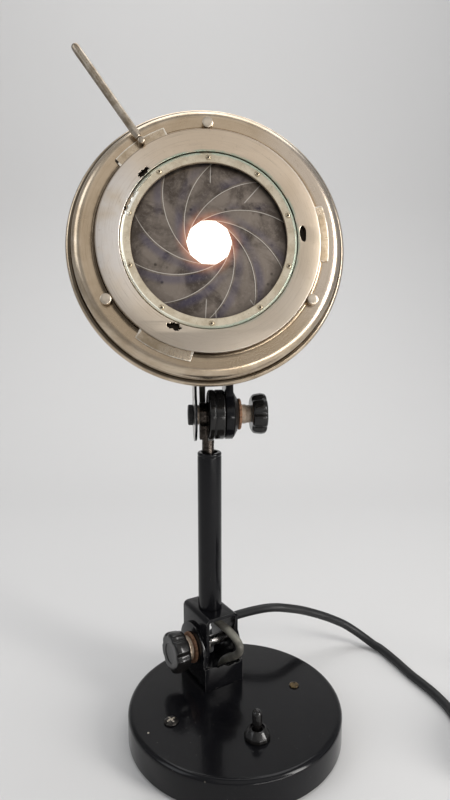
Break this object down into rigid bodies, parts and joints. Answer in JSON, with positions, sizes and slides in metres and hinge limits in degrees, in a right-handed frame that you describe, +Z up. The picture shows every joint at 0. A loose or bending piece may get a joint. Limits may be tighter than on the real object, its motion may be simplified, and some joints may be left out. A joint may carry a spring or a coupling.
{
  "type": "table lamp with iris diaphragm",
  "caption": "Tilting table lamp whose head is a large lever-operated iris diaphragm in front of the bulb, on a post with two lockable joints and a round weighted base.",
  "frame": {"origin": "centre of the underside of the round base", "axes": "+Z up along the post, the lamp faces -Y and the iris lever points up and to -X"},
  "size_m": [0.3835, 0.2029, 0.4857],
  "materials": {
    "black_enamel": "black stove enamel, glossy, chipped and dusty",
    "black_metal": "worn black finish on steel",
    "bakelite": "black moulded bakelite, polished",
    "nickel": "old nickel plate, satin, worn through to brass in places",
    "steel": "bright turned steel",
    "brass": "tarnished brass",
    "rust": "rusted steel",
    "blade_steel": "thin blued steel, blotched and oily",
    "grey_lead": "grey plastic sheath",
    "cord_rubber": "black rubber",
    "felt": "dark felt",
    "cast_iron": "rough casting",
    "opal_glass": "opal glass, lit from behind",
    "bulb_glass": "frosted bulb",
    "ceramic": "glazed ceramic"
  },
  "bodies": {
    "base": {"base_shell": "black_enamel", "base_plate": "black_metal", "base_pad": "felt", "base_weight": "cast_iron", "cross_head_screw": "steel", "slotted_screw": "brass", "switch_body": "black_metal", "switch_nut": "bakelite", "base_bracket": "black_enamel", "bracket_screw_1": "steel", "bracket_screw_2": "steel", "lower_lead": "grey_lead", "cord_boot": "cord_rubber", "mains_cord": "cord_rubber", "cord_coil": "cord_rubber", "cord_tail": "cord_rubber", "mains_plug": "bakelite"},
    "switch_lever": {"switch_lever": "bakelite"},
    "arm": {"arm_yoke": "black_enamel", "tilt_bolt": "steel", "tilt_nut": "steel", "tilt_washer": "rust", "tilt_spacer": "brass", "post_tube": "black_enamel", "post_rod": "black_metal", "upper_lead": "grey_lead"},
    "lower_knob": {"lower_knob": "bakelite"},
    "head": {"head_yoke": "black_enamel", "upper_bolt": "steel", "upper_nut": "black_metal", "upper_brass_washer": "brass", "friction_drum": "bakelite", "cone_washer": "black_metal", "upper_washer": "rust", "upper_spacer": "brass", "front_casing": "nickel", "cover_plate": "nickel", "pivot_ring": "nickel", "guide_stud_1": "nickel", "guide_stud_2": "nickel", "guide_stud_3": "nickel", "housing_shell": "black_enamel", "diffuser": "opal_glass", "lampholder": "ceramic", "bulb": "bulb_glass"},
    "upper_knob": {"upper_knob": "bakelite"},
    "iris_control": {"actuating_ring": "nickel", "lever_stud": "brass", "iris_lever": "brass"},
    "blade_01": {"blade_01": "blade_steel"},
    "blade_02": {"blade_02": "blade_steel"},
    "blade_03": {"blade_03": "blade_steel"},
    "blade_04": {"blade_04": "blade_steel"},
    "blade_05": {"blade_05": "blade_steel"},
    "blade_06": {"blade_06": "blade_steel"},
    "blade_07": {"blade_07": "blade_steel"},
    "blade_08": {"blade_08": "blade_steel"},
    "blade_09": {"blade_09": "blade_steel"},
    "blade_10": {"blade_10": "blade_steel"}
  },
  "joints": [
    {"name": "switch_toggle", "type": "hinge", "parent": "base", "child": "switch_lever", "pos_m": [0.0149, -0.04, 0.025], "axis": [1, 0, 0], "range_deg": [0, 22]},
    {"name": "arm_tilt", "type": "hinge", "parent": "base", "child": "arm", "pos_m": [-0.0194, 0.036, 0.051], "axis": [0.8572, 0.515, 0], "range_deg": [-60, 30], "deforming": ["lower_lead"]},
    {"name": "lower_knob_turn", "type": "hinge", "parent": "arm", "child": "lower_knob", "pos_m": [-0.0194, 0.036, 0.051], "axis": [0.8572, 0.515, 0], "range_deg": [-45, 315]},
    {"name": "head_tilt", "type": "hinge", "parent": "arm", "child": "head", "pos_m": [-0.0194, 0.036, 0.237], "axis": [0.994, 0.1097, 0], "range_deg": [-45, 75], "deforming": ["upper_lead"]},
    {"name": "upper_knob_turn", "type": "hinge", "parent": "head", "child": "upper_knob", "pos_m": [-0.0194, 0.036, 0.237], "axis": [0.994, 0.1097, 0], "range_deg": [-315, 45]},
    {"name": "iris_turn", "type": "hinge", "parent": "head", "child": "iris_control", "pos_m": [-0.0172, -0.01218, 0.36147], "axis": [0.1077, -0.9757, 0.1908], "range_deg": [-18, 68]},
    {"name": "blade_01_turn", "type": "hinge", "parent": "head", "child": "blade_01", "pos_m": [0.01574, -0.01706, 0.31795], "axis": [0.1077, -0.9757, 0.1908], "range_deg": [-10, 36]},
    {"name": "blade_02_turn", "type": "hinge", "parent": "head", "child": "blade_02", "pos_m": [0.03496, -0.00968, 0.34485], "axis": [0.1077, -0.9757, 0.1908], "range_deg": [-10, 36]},
    {"name": "blade_03_turn", "type": "hinge", "parent": "head", "child": "blade_03", "pos_m": [0.03425, -0.00325, 0.37809], "axis": [0.1077, -0.9757, 0.1908], "range_deg": [-10, 36]},
    {"name": "blade_04_turn", "type": "hinge", "parent": "head", "child": "blade_04", "pos_m": [0.01389, -0.00024, 0.40499], "axis": [0.1077, -0.9757, 0.1908], "range_deg": [-10, 36]},
    {"name": "blade_05_turn", "type": "hinge", "parent": "head", "child": "blade_05", "pos_m": [-0.01835, -0.00179, 0.41526], "axis": [0.1077, -0.9757, 0.1908], "range_deg": [-10, 36]},
    {"name": "blade_06_turn", "type": "hinge", "parent": "head", "child": "blade_06", "pos_m": [-0.05014, -0.00731, 0.40499], "axis": [0.1077, -0.9757, 0.1908], "range_deg": [-10, 36]},
    {"name": "blade_07_turn", "type": "hinge", "parent": "head", "child": "blade_07", "pos_m": [-0.06936, -0.01469, 0.37809], "axis": [0.1077, -0.9757, 0.1908], "range_deg": [-10, 36]},
    {"name": "blade_08_turn", "type": "hinge", "parent": "head", "child": "blade_08", "pos_m": [-0.06865, -0.02111, 0.34485], "axis": [0.1077, -0.9757, 0.1908], "range_deg": [-10, 36]},
    {"name": "blade_09_turn", "type": "hinge", "parent": "head", "child": "blade_09", "pos_m": [-0.04829, -0.02413, 0.31795], "axis": [0.1077, -0.9757, 0.1908], "range_deg": [-10, 36]},
    {"name": "blade_10_turn", "type": "hinge", "parent": "head", "child": "blade_10", "pos_m": [-0.01605, -0.02258, 0.30768], "axis": [0.1077, -0.9757, 0.1908], "range_deg": [-10, 36]}
  ],
  "couplings": [
    {"joint": "blade_01_turn", "follows": "iris_turn", "ratio": 0.515},
    {"joint": "blade_02_turn", "follows": "iris_turn", "ratio": 0.515},
    {"joint": "blade_03_turn", "follows": "iris_turn", "ratio": 0.515},
    {"joint": "blade_04_turn", "follows": "iris_turn", "ratio": 0.515},
    {"joint": "blade_05_turn", "follows": "iris_turn", "ratio": 0.515},
    {"joint": "blade_06_turn", "follows": "iris_turn", "ratio": 0.515},
    {"joint": "blade_07_turn", "follows": "iris_turn", "ratio": 0.515},
    {"joint": "blade_08_turn", "follows": "iris_turn", "ratio": 0.515},
    {"joint": "blade_09_turn", "follows": "iris_turn", "ratio": 0.515},
    {"joint": "blade_10_turn", "follows": "iris_turn", "ratio": 0.515}
  ]
}
